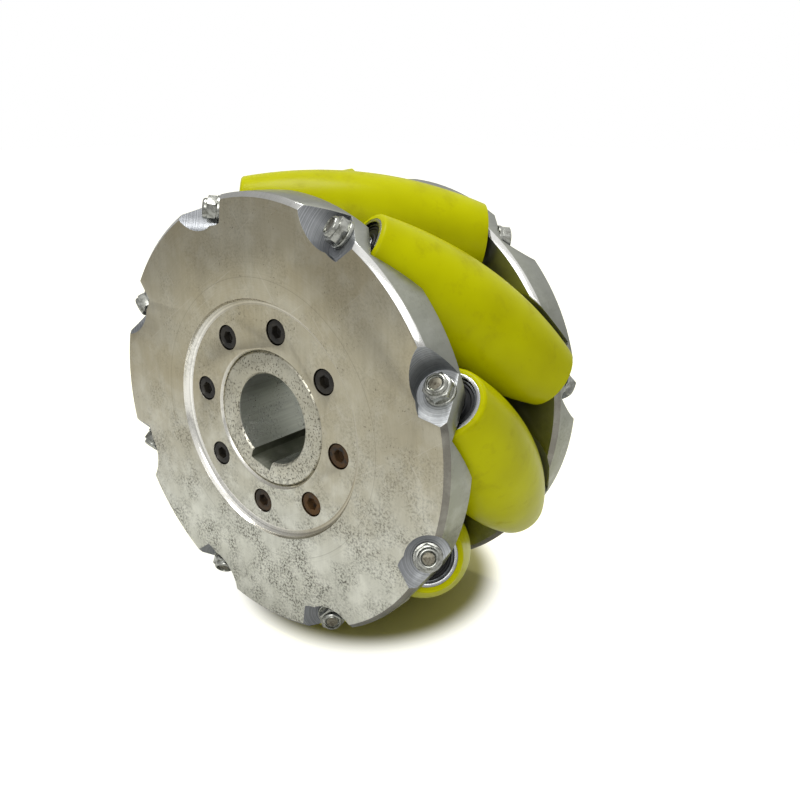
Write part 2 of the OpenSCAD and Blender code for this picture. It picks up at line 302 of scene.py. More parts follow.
def end_tree(tree, given, shape):
    """Every tree ends in Realize Instances and Set Material."""
    real = add(tree, "GeometryNodeRealizeInstances", {0: shape})
    painted = add(tree, "GeometryNodeSetMaterial", {"Geometry": real, "Material": given["Material"]})
    add(tree, "NodeGroupOutput", {0: painted})


lathe, given = new_tree("lathe", {"Corner Radius": "Float", "Facets": "Int"})
line = add(lathe, "GeometryNodeMeshToCurve", {0: given["Geometry"]})
rounded = add(lathe, "GeometryNodeFilletCurve", {
    "Curve": line, "Radius": given["Corner Radius"], "Count": 3, "Limit Radius": True}, mode="POLY")
moved = add(lathe, "GeometryNodeTransform", {
    "Geometry": rounded, "Translation": (-SWEEP_RADIUS, 0, 0)})
circle = add(lathe, "GeometryNodeCurvePrimitiveCircle", {
    "Resolution": given["Facets"], "Radius": SWEEP_RADIUS})
swept = add(lathe, "GeometryNodeCurveToMesh", {"Curve": circle, "Profile Curve": moved})
end_tree(lathe, given, swept)
print(f"{lathe.name}: {len(lathe.nodes)} nodes")

# %% [markdown]
# ## Geometry Nodes: one piece on every axle
# The wheel has eight tilted axles, and each carries the same fasteners. The tree puts a
# piece, drawn once in its axle's own axes, on points round the wheel, and gives each copy
# its own chance turn about its axle, as a spanner leaves it.

# %% The ring tree
ring, given = new_tree("on_every_axle", {
    "Count": "Int", "Axle Radius": "Float", "Tilt": "Float", "First Angle": "Float",
    "Chance Turn": "Float", "Seed": "Int"})
index = add(ring, "GeometryNodeInputIndex")
step = add(ring, "ShaderNodeMath", {0: math.tau, 1: given["Count"]}, operation="DIVIDE")
angle = add(ring, "ShaderNodeMath", {
    0: index, 1: step, 2: given["First Angle"]}, operation="MULTIPLY_ADD")
across = add(ring, "ShaderNodeMath", {0: angle}, operation="COSINE")
along = add(ring, "ShaderNodeMath", {0: angle}, operation="SINE")
direction = add(ring, "ShaderNodeCombineXYZ", {0: across, 1: along})
place = add(ring, "ShaderNodeVectorMath", {
    0: direction, "Scale": given["Axle Radius"]}, operation="SCALE")
points = add(ring, "GeometryNodePoints", {"Count": given["Count"], "Position": place})
tipped = add(ring, "ShaderNodeMath", {0: given["Tilt"], 1: -1.0}, operation="MULTIPLY")
lean = add(ring, "ShaderNodeCombineXYZ", {0: tipped, 2: angle})
lean = add(ring, "FunctionNodeEulerToRotation", {0: lean})
copies = add(ring, "GeometryNodeInstanceOnPoints", {
    "Points": points, "Instance": given["Geometry"], "Rotation": lean})
chance = add(ring, "FunctionNodeRandomValue", {
    2: 0.0, 3: given["Chance Turn"], "Seed": given["Seed"]})
spin = add(ring, "ShaderNodeCombineXYZ", {2: chance.outputs[1]})
spun = add(ring, "GeometryNodeRotateInstances", {
    "Instances": copies, "Rotation": spin, "Local Space": True})
upright = add(ring, "GeometryNodeTransform", {"Geometry": spun, "Rotation": (math.pi / 2, 0, 0)})
end_tree(ring, given, upright)
print(f"{ring.name}: {len(ring.nodes)} nodes")

# %% [markdown]
# A tree is used as a modifier, and what it makes is kept as a plain mesh.

# %% Use a tree
CREASE = math.radians(35)        # edges that bend more than this stay sharp


def use_tree(piece, tree, **sizes):
    """Adds the tree to a piece as a modifier and sets its inputs by their identifiers."""
    modifier = piece.modifiers.new(tree.name, "NODES")
    modifier.node_group = tree
    for socket in tree.interface.items_tree:
        if socket.in_out == "INPUT" and socket.name in sizes:
            modifier[socket.identifier] = sizes[socket.name]


def plain_mesh(maker, name):
    """Replaces a piece and its modifiers by the mesh that they make, smooth between creases."""
    evaluated = maker.evaluated_get(bpy.context.evaluated_depsgraph_get())
    shape = bpy.data.meshes.new_from_object(evaluated)
    bpy.data.objects.remove(maker)
    made = bmesh.new()
    made.from_mesh(shape)
    bmesh.ops.remove_doubles(made, verts=made.verts, dist=WELD)
    bmesh.ops.recalc_face_normals(made, faces=made.faces)
    for face in made.faces:
        face.smooth = True
    for edge in made.edges:
        edge.smooth = edge.is_manifold and edge.calc_face_angle() < CREASE
    made.to_mesh(shape)
    made.free()
    shape.name = name
    piece = bpy.data.objects.new(name, shape)
    scene.collection.objects.link(piece)
    print(f"{name}: {len(shape.polygons)} faces")
    return piece

# %% [markdown]
# ## Materials
# Every pattern reads Object coordinates, or a place that the mesh stores, in millimetres, so
# a scale is one over the size of what it draws. A material begins from its real colour,
# metal or not, and its roughness.

# %% Start a material


def material(name, colour, metallic, roughness):
    """A new material with its Principled shader, and Object coordinates in millimetres."""
    made = bpy.data.materials.new(name)
    made.use_nodes = True
    tree = made.node_tree
    tree.nodes.clear()
    shader = add(tree, "ShaderNodeBsdfPrincipled", {
        "Base Color": linear(colour), "Metallic": metallic, "Roughness": roughness})
    add(tree, "ShaderNodeOutputMaterial", {"Surface": shader})
    place = add(tree, "ShaderNodeTexCoord").outputs["Object"]
    in_mm = add(tree, "ShaderNodeVectorMath", {0: place, "Scale": 1 / MM}, operation="SCALE")
    return made, tree, shader, in_mm


def spots(tree, place, size, low, high, detail=2.0, roughness=0.5):
    """Noise of that size in mm, from 0 where it is under low to 1 where it is over high."""
    noise = add(tree, "ShaderNodeTexNoise", {
        "Vector": place, "Scale": 1 / size, "Detail": detail, "Roughness": roughness})
    return add(tree, "ShaderNodeMapRange", {"Value": noise, "From Min": low, "From Max": high})


def blend(tree, share, under, over, mode="MIX"):
    """Lays one colour over another, as much as share says."""
    mixed = add(tree, "ShaderNodeMix", {
        0: share, 6: under, 7: over}, data_type="RGBA", blend_type=mode)
    return mixed.outputs[2]


def product(tree, *values):
    """The product of several values."""
    result = values[0]
    for value in values[1:]:
        result = add(tree, "ShaderNodeMath", {0: result, 1: value}, operation="MULTIPLY")
    return result


# %% [markdown]
# Machined aluminium is grey; its warm, darker tint on one side is painted shade. Damp and storage
# mottle it with a dark speckle and a pale bloom, heavier in some places, dirt settles in
# small pits, and handling leaves a few hairlines. The facing tool leaves faint rings about
# the wheel's axis. One function makes each aluminium surface, with its own amounts.
#
# Each surface also has one colour on one side of the wheel and another opposite. On the
# faces and the hub's end this is painted light and shade: paler below, where the floor lights
# them, and darker and warmer above. On the rim it is a painted yellow reflection of the
# rollers below. On the chamfer, the recess's wall and the milled seats it is a painted
# highlight: the light that such a bright, narrow cut catches on one side only, with painted
# shade elsewhere.

# %% Aluminium
SPECKLE = "#4E4B42"      # dark oxide, in a fine grain
BLOOM = "#DFDFD4"        # pale, chalky oxide
DIRT = "#3E3A31"         # what collects in the pits
HAIRLINE = "#EDEBE3"     # fresh metal in a scratch
SCRIBED_LINE = "#6B675C"
SCRIBED_WIDTH = 0.18     # half the width of a scribed line, in mm
DRAWN_LENGTH = 30        # length in mm of a mark that runs along the axis
CUTTER_PITCH = 0.5       # distance in mm between the arcs that an end mill leaves


def hairlines(tree, place, angle, least):
    """A few straight hairlines in the plane of the plate's face, at one angle."""
    turned = add(tree, "ShaderNodeVectorRotate", {
        "Vector": place, "Angle": angle}, rotation_type="Y_AXIS")
    stretched = add(tree, "ShaderNodeVectorMath", {
        0: turned, 1: (1 / 30, 1 / 30, 1 / 0.4)}, operation="MULTIPLY")
    return spots(tree, stretched, 1, least, least + 0.03, detail=0)


def drawn_marks(tree, place):
    """Straight marks along the wheel's axis, as a boring bar or a broach leaves them."""
    along = add(tree, "ShaderNodeVectorMath", {
        0: place, 1: (1 / 0.8, 1 / DRAWN_LENGTH, 1 / 0.8)}, operation="MULTIPLY")
    return add(tree, "ShaderNodeTexNoise", {"Vector": along, "Scale": 1.0, "Detail": 3.0})


def milled_marks(tree):
    """Arcs about the nearest axle, from the place that note_axle_place stores."""
    own = add(tree, "ShaderNodeAttribute", attribute_name="axle_place").outputs["Vector"]
    own = add(tree, "ShaderNodeVectorMath", {0: own, "Scale": 1 / MM}, operation="SCALE")
    own = add(tree, "ShaderNodeSeparateXYZ", {0: own})
    flat = add(tree, "ShaderNodeCombineXYZ", {0: own.outputs[0], 1: own.outputs[1]})
    reach = add(tree, "ShaderNodeVectorMath", {0: flat}, operation="LENGTH").outputs["Value"]
    reach = add(tree, "ShaderNodeMath", {0: reach, 1: own.outputs[2]}, operation="ADD")
    return add(tree, "ShaderNodeTexNoise", {
        "W": reach, "Scale": 1 / CUTTER_PITCH, "Detail": 2.0}, noise_dimensions="1D")


def around_one(tree, value, swing):
    """A factor that swings about 1 with a noise, for tones that are multiplied in."""
    return add(tree, "ShaderNodeMapRange", {
        "Value": value, "From Min": 0.3, "From Max": 0.7, "To Min": 1 - swing, "To Max": 1 + swing})


def aluminium(name, colour, other, roughness, side=(0, 0, -1), span=(-10, 62),
              speckle=0.5, pits=0.5, lines=0.5, rings=0.5, drawn=0.0, milled=0.0, scribed=0.0):
    """Turned or milled aluminium.

    It has the first colour on the given side of the wheel and the other one opposite, as
    painted light and shade. They meet over a span of mm towards that side. Each amount is 0
    for none and 1 for as usual, and the speckle is at most 1. A scribed circle's radius is in mm.
    """
    made, tree, shader, place = material(name, colour, 1.0, roughness)
    parts = add(tree, "ShaderNodeSeparateXYZ", {0: place})
    flat = add(tree, "ShaderNodeCombineXYZ", {0: parts.outputs[0], 1: parts.outputs[2]})
    radius = add(tree, "ShaderNodeVectorMath", {0: flat}, operation="LENGTH").outputs["Value"]

    # The two colours, painted light and shade, which meet in clouds
    towards = add(tree, "ShaderNodeVectorMath", {0: place, 1: side}, operation="DOT_PRODUCT")
    towards = add(tree, "ShaderNodeMapRange", {
        "Value": towards.outputs["Value"], "From Min": span[0], "From Max": span[1]})
    painted_light_share = spots(tree, place, 40, 0.35, 0.70, detail=3)
    painted_light_share = add(tree, "ShaderNodeMath", {
        0: painted_light_share, 1: 0.3, 2: towards}, operation="MULTIPLY_ADD", use_clamp=True)
    colour = blend(tree, painted_light_share, linear(other), linear(colour))

    # Dark speckle and pale bloom, heavier towards the side
    heavy = add(tree, "ShaderNodeMapRange", {"Value": towards, "To Min": 0.22, "To Max": 1.0})
    patch = spots(tree, place, 14, 0.40, 0.60, detail=4)
    grain = spots(tree, place, 1.1, 0.46, 0.60, detail=3, roughness=0.7)
    mottle = product(tree, grain, patch, heavy, speckle)
    colour = blend(tree, product(tree, mottle, 0.9), colour, linear(SPECKLE))
    bloom = spots(tree, place, 8, 0.46, 0.66, detail=4, roughness=0.55)
    bloom = product(tree, bloom, heavy, 0.6 * speckle)
    colour = blend(tree, bloom, colour, linear(BLOOM))

    # Clusters of small dirty pits
    cluster = spots(tree, place, 13, 0.58 - 0.10 * pits, 0.74 - 0.12 * pits)
    upright = add(tree, "ShaderNodeVectorMath", {0: place, 1: (1, 1, 0.7)}, operation="MULTIPLY")
    dot = spots(tree, upright, 0.9, 0.65 - 0.04 * pits, 0.70 - 0.04 * pits, detail=3, roughness=0.7)
    speck = product(tree, dot, cluster, min(pits, 1.0))
    colour = blend(tree, product(tree, speck, 0.75), colour, linear(DIRT))

    # Rings from the tool and broad, faint streaks; pits and speckle lie a little deeper
    turning = add(tree, "ShaderNodeTexNoise", {
        "W": radius, "Scale": 1 / 0.7, "Detail": 3.0, "Roughness": 0.7}, noise_dimensions="1D")
    soft = add(tree, "ShaderNodeVectorMath", {
        0: place, 1: (1 / 1.6, 1 / 22, 1 / 22)}, operation="MULTIPLY")
    brush = add(tree, "ShaderNodeTexNoise", {
        "Vector": soft, "Scale": 1.0, "Detail": 3.0, "Roughness": 0.6})
    tones = product(tree, around_one(tree, brush, 0.045), around_one(tree, turning, 0.05 * rings))
    height = product(tree, turning, 0.008 * rings)
    height = add(tree, "ShaderNodeMath", {0: speck, 1: -0.05, 2: height}, operation="MULTIPLY_ADD")
    height = add(tree, "ShaderNodeMath", {
        0: mottle, 1: -0.008, 2: height}, operation="MULTIPLY_ADD")

    # The marks of the other tools
    marks = []
    if drawn:
        marks.append((drawn_marks(tree, place), drawn))
    if milled:
        marks.append((milled_marks(tree), milled))
    for mark, amount in marks:
        height = add(tree, "ShaderNodeMath", {
            0: mark, 1: 0.04 * amount, 2: height}, operation="MULTIPLY_ADD")
        tones = product(tree, tones, around_one(tree, mark, 0.2 * amount))
    colour = blend(tree, 1.0, colour, tones, "MULTIPLY")

    # Scratches and the scribed circle
    scratch = [hairlines(tree, place, angle, 0.79) for angle in (0.6, 2.2)]
    scratch = add(tree, "ShaderNodeMath", {0: scratch[0], 1: scratch[1]}, operation="MAXIMUM")
    colour = blend(tree, product(tree, scratch, 0.35 * lines), colour, linear(HAIRLINE))
    if scribed:
        circle = add(tree, "ShaderNodeMath", {
            0: radius, 1: scribed, 2: SCRIBED_WIDTH}, operation="COMPARE")
        colour = blend(tree, product(tree, circle, 0.25), colour, linear(SCRIBED_LINE))
    tree.links.new(colour, shader.inputs["Base Color"])

    # Duller where it is mottled or pitted
    rough = add(tree, "ShaderNodeMapRange", {
        "Value": mottle, "To Min": roughness, "To Max": roughness + 0.2})
    rough = add(tree, "ShaderNodeMath", {0: speck, 1: 0.25, 2: rough}, operation="MULTIPLY_ADD")
    tree.links.new(rough.outputs[0], shader.inputs["Roughness"])
    relief = add(tree, "ShaderNodeBump", {"Height": height, "Distance": MM, "Strength": 1.0})
    tree.links.new(relief.outputs[0], shader.inputs["Normal"])
    return made


# The plates' outside: warm grey above and pale below, as painted shade and painted light from
# the floor; mottled below, with one scribed circle
faced = aluminium("faced_aluminium", "#C9C9BD", "#AAA187", 0.32,
                  speckle=1.0, pits=0.9, lines=0.3, rings=0.6, scribed=61.5)
# The plates' inside: cleaner and greyer, and darkened as painted shade behind the rollers
inner_face = aluminium("inner_face_aluminium", "#8F9086", "#8A8B80", 0.36,
                       speckle=0.3, pits=0.2, lines=0.0)
# The rim between the seats: turned, a little darker than the face as painted shade, and
# yellower below as a painted reflection of the rollers
turned_rim = aluminium("turned_rim_aluminium", "#949579", "#989A92", 0.34,
                       speckle=0.6, pits=0.3, lines=0.0)
# The chamfer: a fresh bright cut, with a painted highlight above and painted shade below
cut_edge = aluminium("chamfered_aluminium", "#7F7C73", "#DADAD6", 0.16, span=(-50, -28),
                     speckle=0.2, pits=0.2, lines=0.0)
# The recess's curved wall: a painted highlight at the lower left, with strong rings
turned_wall = aluminium("turned_fillet_aluminium", "#F0EEE6", "#A49D88", 0.16,
                        side=(-0.9, 0, -0.45), span=(0, 40),
                        speckle=0.3, pits=0.2, lines=0.0, rings=4.0)
# The seats of the nuts and bolts: cool and dull, darkened as painted shade, and palest at
# the far right as painted light, with milled arcs
milled = aluminium("milled_aluminium", "#BFC2C3", "#7F8184", 0.50, side=(1, 0, 0), span=(74, 90),
                   speckle=0.2, pits=0.0, lines=0.0, rings=0.0, milled=1.2)
# The hub's end: paler than the plate and well pitted; paler below and darker above, as
# painted light and shade
hub_end = aluminium("hub_aluminium", "#DCDACB", "#A9A593", 0.30,
                    speckle=1.0, pits=2.6, lines=0.0, rings=0.4)
# The bore: pale, with marks along the axis
bored = aluminium("bored_aluminium", "#E6E7E0", "#D6D8D2", 0.34,
                  speckle=0.6, pits=1.6, lines=0.0, rings=0.0, drawn=0.5)
# The keyway's walls: darkened as painted shade in the slot, and duller than the bore
broached = aluminium("broached_aluminium", "#85877A", "#85877A", 0.40,
                     speckle=0.4, pits=0.5, lines=0.0, rings=0.0, drawn=0.5)
print("aluminium:", len(faced.node_tree.nodes), "nodes on the plates' outside")

# %% [markdown]
# The treads are cast polyurethane, coloured through, and turned to shape afterwards. It is
# a strong yellow with a hint of green, smooth and a little translucent, with faint rings
# from the lathe and grey-brown smudges from the floor. A ring belongs to its roller, so it
# reads the place on the roller that the tread tree stores, and not the place on the wheel.
# The specular level is low: the handled surface shows broad, weak highlights.

# %% Polyurethane
polyurethane, tree, shader, place = material("cast_polyurethane", "#BABA00", 0.0, 0.30)
own = add(tree, "ShaderNodeAttribute", attribute_name="roller_place").outputs["Vector"]
own_mm = add(tree, "ShaderNodeVectorMath", {0: own, "Scale": 1 / MM}, operation="SCALE")
height_mm = add(tree, "ShaderNodeSeparateXYZ", {0: own_mm}).outputs[2]
turning = add(tree, "ShaderNodeTexNoise", {
    "W": height_mm, "Scale": 1 / 0.9, "Detail": 2.0, "Roughness": 0.6}, noise_dimensions="1D")
shade = spots(tree, place, 30, 0.35, 0.7, detail=3)
colour = blend(tree, shade, linear("#BBBC00"), linear("#ABAA00"))
smudge = spots(tree, place, 10, 0.56, 0.80, detail=5, roughness=0.65)
colour = blend(tree, product(tree, smudge, 0.38), colour, linear("#7C6C10"))
tree.links.new(colour, shader.inputs["Base Color"])
rough = add(tree, "ShaderNodeMapRange", {"Value": smudge, "To Min": 0.28, "To Max": 0.45})
tree.links.new(rough.outputs[0], shader.inputs["Roughness"])
relief = add(tree, "ShaderNodeBump", {
    "Height": product(tree, turning, 0.010), "Distance": MM, "Strength": 1.0})
tree.links.new(relief.outputs[0], shader.inputs["Normal"])
shader.inputs["Specular IOR Level"].default_value = 0.05
shader.inputs["Subsurface Weight"].default_value = 0.10
shader.inputs["Subsurface Radius"].default_value = (1.0, 0.9, 0.05)
shader.inputs["Subsurface Scale"].default_value = 2 * MM
print("polyurethane:", len(tree.nodes), "nodes")

# %% [markdown]
# Tubes, inner rings, spacers and collars are ground steel, which is bright and smooth. The
# outer rings sit in the gap between a tread and its ear; their colour is darkened there as
# painted shade. Nuts, washers and bolts are zinc plated: a slightly yellow grey with dull
# patches. A bolt's cut end shows bare steel that has browned. The hub screws have a black
# oxide skin, which is matt rather than mirror-like and has begun to rust on the low right
# side of the wheel. Seals are black rubber with a little dust.

# %% Steels and rubber
RUST_START = 20          # how far to the low right in mm, x less z, the rust begins
RUST_FULL = 60           # and is at its heaviest
DULL_BLACK = 0.25        # specular level of matt black rubber and oxide


def steel(name, colour, dull, roughness, patch=5.0):
    """Bright or plated steel with duller, darker patches of that size in mm."""
    made, tree, shader, place = material(name, colour, 1.0, roughness)
    patches = spots(tree, place, patch, 0.45, 0.7, detail=4, roughness=0.6)
    colour = blend(tree, patches, linear(colour), linear(dull))
    tree.links.new(colour, shader.inputs["Base Color"])
    rough = add(tree, "ShaderNodeMapRange", {
        "Value": patches, "To Min": roughness, "To Max": roughness + 0.15})
    tree.links.new(rough.outputs[0], shader.inputs["Roughness"])
    fine = spots(tree, place, 0.6, 0.2, 0.8, detail=3)
    relief = add(tree, "ShaderNodeBump", {"Height": product(tree, fine, 0.006), "Distance": MM})
    tree.links.new(relief.outputs[0], shader.inputs["Normal"])
    return made


ground_steel = steel("ground_steel", "#A9AAAA", "#8A8B8B", 0.20)
# The outer rings: their dark colour is painted shade from the gap they sit in
ring_steel = steel("outer_ring_painted_shade_steel", "#4E5051", "#3C3E3F", 0.24)
zinc_plate = steel("zinc_plated_steel", "#A9AAA3", "#66665E", 0.20, patch=2.2)
bare_end = steel("browned_bare_steel", "#827E70", "#453E33", 0.40, patch=1.2)

black_rubber, tree, shader, place = material("black_seal_rubber", "#17181A", 0.0, 0.45)
shader.inputs["Specular IOR Level"].default_value = DULL_BLACK
dust = spots(tree, place, 4, 0.5, 0.8, detail=4)
dusty = blend(tree, dust, linear("#0D0E0F"), linear("#222221"))
tree.links.new(dusty, shader.inputs["Base Color"])

black_oxide, tree, shader, place = material("black_oxide_steel", "#2B2722", 0.0, 0.45)
shader.inputs["Specular IOR Level"].default_value = DULL_BLACK
parts = add(tree, "ShaderNodeSeparateXYZ", {0: place})
rust_side = add(tree, "ShaderNodeMath", {
    0: parts.outputs[0], 1: parts.outputs[2]}, operation="SUBTRACT")
rust_side = add(tree, "ShaderNodeMapRange", {
    "Value": rust_side, "From Min": RUST_START, "From Max": RUST_FULL})
rust = product(tree, rust_side, spots(tree, place, 2.5, 0.3, 0.55, detail=4))
skin = blend(tree, spots(tree, place, 5, 0.4, 0.7), linear("#1E1C19"), linear("#312D25"))
tree.links.new(blend(tree, rust, skin, linear("#5A4022")), shader.inputs["Base Color"])
rough = add(tree, "ShaderNodeMapRange", {"Value": rust, "To Min": 0.42, "To Max": 0.75})
tree.links.new(rough.outputs[0], shader.inputs["Roughness"])
print("materials:", ", ".join(sorted(m.name for m in bpy.data.materials)))

# %% [markdown]
# ## Treads
# A mecanum roller is the solid that rolls inside the wheel's own cylinder, so that the
# wheel stays round while the rollers pass the floor. For a wheel radius R, axles at the
# radius c and a tilt t, a plane square to the axle cuts the cylinder in an ellipse. At the
# angle a on it the roller's radius is (R - c / cos a) * sqrt(cos^2 a + sin^2 a cos^2 t), at
# the distance (R sin a) * sin t + c tan a * cos^2 t / sin t along the axle. The tree below
# draws that curve with math nodes, from one point at the tube to the other, rounds the two
# corners at its ends and turns it.

# %% The tread tree
tread_tree, given = new_tree("mecanum_tread", {
    "Wheel Radius": "Float", "Axle Radius": "Float", "Tilt": "Float", "End Angle": "Float",
    "Tube Radius": "Float", "Edge Radius": "Float", "Steps": "Int", "Facets": "Int"})


def calculate(operation, *values):
    """A math node of the tread tree."""
    return add(tread_tree, "ShaderNodeMath", dict(enumerate(values)), operation=operation)


# From -1 to 1 along the curve, and the angle a at each point
index = add(tread_tree, "GeometryNodeInputIndex")
last = calculate("ADD", given["Steps"], 2)
share = calculate("DIVIDE", calculate("SUBTRACT", index, 1), given["Steps"])
share = add(tread_tree, "ShaderNodeClamp", {0: calculate("MULTIPLY_ADD", share, 2, -1), 1: -1, 2: 1})
turn = calculate("MULTIPLY", share, given["End Angle"])
sine, cosine, tangent = [calculate(kind, turn) for kind in ("SINE", "COSINE", "TANGENT")]
tilt_sine, tilt_cosine = [calculate(kind, given["Tilt"]) for kind in ("SINE", "COSINE")]

# The distance along the axle
from_cylinder = calculate("MULTIPLY", calculate("MULTIPLY", given["Wheel Radius"], sine), tilt_sine)
squeeze = calculate("DIVIDE", calculate("POWER", tilt_cosine, 2), tilt_sine)
from_axle = calculate("MULTIPLY", calculate("MULTIPLY", given["Axle Radius"], tangent), squeeze)
distance = calculate("ADD", from_cylinder, from_axle)

# The roller's radius
gap = calculate("SUBTRACT", given["Wheel Radius"], calculate("DIVIDE", given["Axle Radius"], cosine))
flatten = calculate("POWER", calculate("MULTIPLY", sine, tilt_cosine), 2)
flatten = calculate("SQRT", calculate("ADD", flatten, calculate("POWER", cosine, 2)))
swell = calculate("MULTIPLY", gap, flatten)

# The first and the last point lie on the tube, and the two beside them are the corners
at_tube = calculate("COMPARE", calculate("PINGPONG", index, last), 0, 0.5)
inner = calculate("MULTIPLY", at_tube, given["Tube Radius"])
outer = calculate("MULTIPLY", calculate("SUBTRACT", 1, at_tube), swell)
radius = calculate("ADD", inner, outer)
from_corner = calculate("PINGPONG", calculate("SUBTRACT", index, 1), given["Steps"])
at_corner = calculate("COMPARE", from_corner, 0, 0.5)
corner_radius = calculate("MULTIPLY", at_corner, given["Edge Radius"])

count = calculate("ADD", last, 1)
dots = add(tread_tree, "GeometryNodeMeshLine", {"Count": count})
spot = add(tread_tree, "ShaderNodeCombineXYZ", {0: radius, 1: distance})
drawn = add(tread_tree, "GeometryNodeSetPosition", {"Geometry": dots, "Position": spot})
line = add(tread_tree, "GeometryNodeMeshToCurve", {0: drawn})
rounded = add(tread_tree, "GeometryNodeFilletCurve", {
    "Curve": line, "Radius": corner_radius, "Count": 5}, mode="POLY")
moved = add(tread_tree, "GeometryNodeTransform", {
    "Geometry": rounded, "Translation": (-SWEEP_RADIUS, 0, 0)})
circle = add(tread_tree, "GeometryNodeCurvePrimitiveCircle", {
    "Resolution": given["Facets"], "Radius": SWEEP_RADIUS})
swept = add(tread_tree, "GeometryNodeCurveToMesh", {"Curve": circle, "Profile Curve": moved})
spot = add(tread_tree, "GeometryNodeInputPosition")
noted = add(tread_tree, "GeometryNodeStoreNamedAttribute", {
    "Geometry": swept, "Name": "roller_place", "Value": spot,
}, data_type="FLOAT_VECTOR", domain="POINT")
end_tree(tread_tree, given, noted)
print(f"{tread_tree.name}: {len(tread_tree.nodes)} nodes")

# %% The angle at which a tread ends
MOST_ANGLE = math.radians(40)
HALVINGS = 40


def distance_at(a):
    """The tread tree's rule for the distance along the axle."""
    along_cylinder = wheel_radius * math.sin(a) * math.sin(tilt)
    along_axle = axle_radius * math.tan(a) * math.cos(tilt) ** 2 / math.sin(tilt)
    return along_cylinder + along_axle


end_angle, beyond = 0.0, MOST_ANGLE
for _ in range(HALVINGS):
    guess = (end_angle + beyond) / 2
    if distance_at(guess) < tread_end:
        end_angle = guess
    else:
        beyond = guess
print(f"a tread ends {math.degrees(end_angle):.2f} degrees from its middle")

# %% Make the treads
EDGE_RADIUS = 1.6 * MM
TREAD_STEPS = 56
TREAD_FACETS = 112

for body in BODIES:
    number = number_of(body)
    maker = bpy.data.objects.new("maker", bpy.data.meshes.new("maker"))
    scene.collection.objects.link(maker)
    use_tree(maker, tread_tree, **{
        "Wheel Radius": wheel_radius, "Axle Radius": axle_radius, "Tilt": tilt,
        "End Angle": end_angle, "Tube Radius": tube_radius, "Edge Radius": EDGE_RADIUS,
        "Steps": TREAD_STEPS, "Facets": TREAD_FACETS, "Material": polyurethane})
    tread = plain_mesh(maker, f"tread_{number}")
    tread.data.transform(AXLES[body])
    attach(tread, body)
    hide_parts(f"roller_tread_{number}")

# %% [markdown]
# ## Bearings and tubes
# Each roller carries its tube, two outer rings and four seals, one on each side of each
# bearing, and its axle carries two inner rings. All are turned, so each is a profile for
# the lathe: a closed line for each solid, and the same turned over for the other end. Their
# sizes come from the frame. The seals' shallow dish and all rounded corners are added here.

# %% Profiles for the lathe
CORNER = 0.2 * MM
LATHE_FACETS = 72


def closed_lines(outlines):
    """A maker with one closed line for each outline of (radius, height) points."""
    shape = bpy.data.meshes.new("maker")
    points, edges = [], []
    for outline in outlines:
        start = len(points)
        points += [(radius, -height, 0) for radius, height in outline]
        edges += [(start + i, start + (i + 1) % len(outline)) for i in range(len(outline))]
    shape.from_pydata(points, edges, [])
    maker = bpy.data.objects.new("maker", shape)
    scene.collection.objects.link(maker)
    return maker


def both_ends(*outlines):
    """The outlines, and the same ones turned over for the other end of the axle."""
    over = [[(radius, -height) for radius, height in reversed(outline)] for outline in outlines]
    return [*outlines, *over]


def washer_outline(inner, outer, low, high):
    """A ring's rectangular outline."""
    return [(inner, low), (outer, low), (outer, high), (inner, high)]


def turned_piece(outlines, finish, corner=CORNER):
    """A lathe maker that is ready to evaluate."""
    maker = closed_lines(outlines)
    use_tree(maker, lathe, **{
        "Corner Radius": corner, "Facets": LATHE_FACETS, "Material": finish})
    return maker


# %% What each roller carries
SEAL_THICKNESS = 0.8 * MM
SEAL_DISH = 0.25 * MM                # depth of the dish between the beads
SEAL_BEAD = 1.0 * MM                 # width of the bead at the ring and at the lip
SEAL_SLOPE = 1.3 * SEAL_BEAD         # where the slope down from a bead ends

_, ring_out, ring_bore, ring_radius = measure("bearing_outer_rings_1", first_axle)
_, seal_out, seal_lip, _ = measure("bearing_seals_1", first_axle)
_, tube_out, tube_bore, _ = measure("roller_tube_1", first_axle)
to_first_axle = first_axle.inverted()
ring_points = frame["nodes"]["bearing_outer_rings_1"].data.vertices
ring_in = min(abs((to_first_axle @ vertex.co).z) for vertex in ring_points)


def seal_outline(outside):
    """A rubber seal: a bead in the outer ring, a shallow dish, and a lip by the inner ring."""
    dish_at = outside - SEAL_DISH
    under = outside - SEAL_THICKNESS
    return [
        (seal_lip, under), (ring_bore, under), (ring_bore, outside),
        (ring_bore - SEAL_BEAD, outside), (ring_bore - SEAL_SLOPE, dish_at),
        (seal_lip + SEAL_SLOPE, dish_at), (seal_lip + SEAL_BEAD, outside), (seal_lip, outside),
    ]


def turned_in(outline):
    """The outline turned over within its bearing, for the seal on the bearing's inner side."""
    return [(radius, ring_in + ring_out - height) for radius, height in reversed(outline)]


tube_outline = [
    (tube_bore, -ring_in), (tube_bore, ring_in), (ring_radius, ring_in),
    (ring_radius, tube_out), (tube_radius, tube_out), (tube_radius, -tube_out),
    (ring_radius, -tube_out), (ring_radius, -ring_in),
]
outer_rings = both_ends(washer_outline(ring_bore, ring_radius, ring_in, ring_out))
seals = both_ends(seal_outline(seal_out), turned_in(seal_outline(seal_out)))
print(f"bearings lie {ring_in / MM:.1f} to {ring_out / MM:.1f} mm from a roller's middle")

for body in BODIES:
    number = number_of(body)
    parts = {
        "roller_tube": ([tube_outline], ground_steel, "bearing_steel"),
        "bearing_outer_rings": (outer_rings, ring_steel, "bearing_steel"),
        "bearing_seals": (seals, black_rubber, "seal_rubber"),
    }
    for node, (outlines, finish, slot) in parts.items():
        piece = plain_mesh(turned_piece(outlines, finish), f"turned_{node}_{number}")
        piece.data.transform(AXLES[body])
        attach(piece, body)
        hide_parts(f"{node}_{number}")

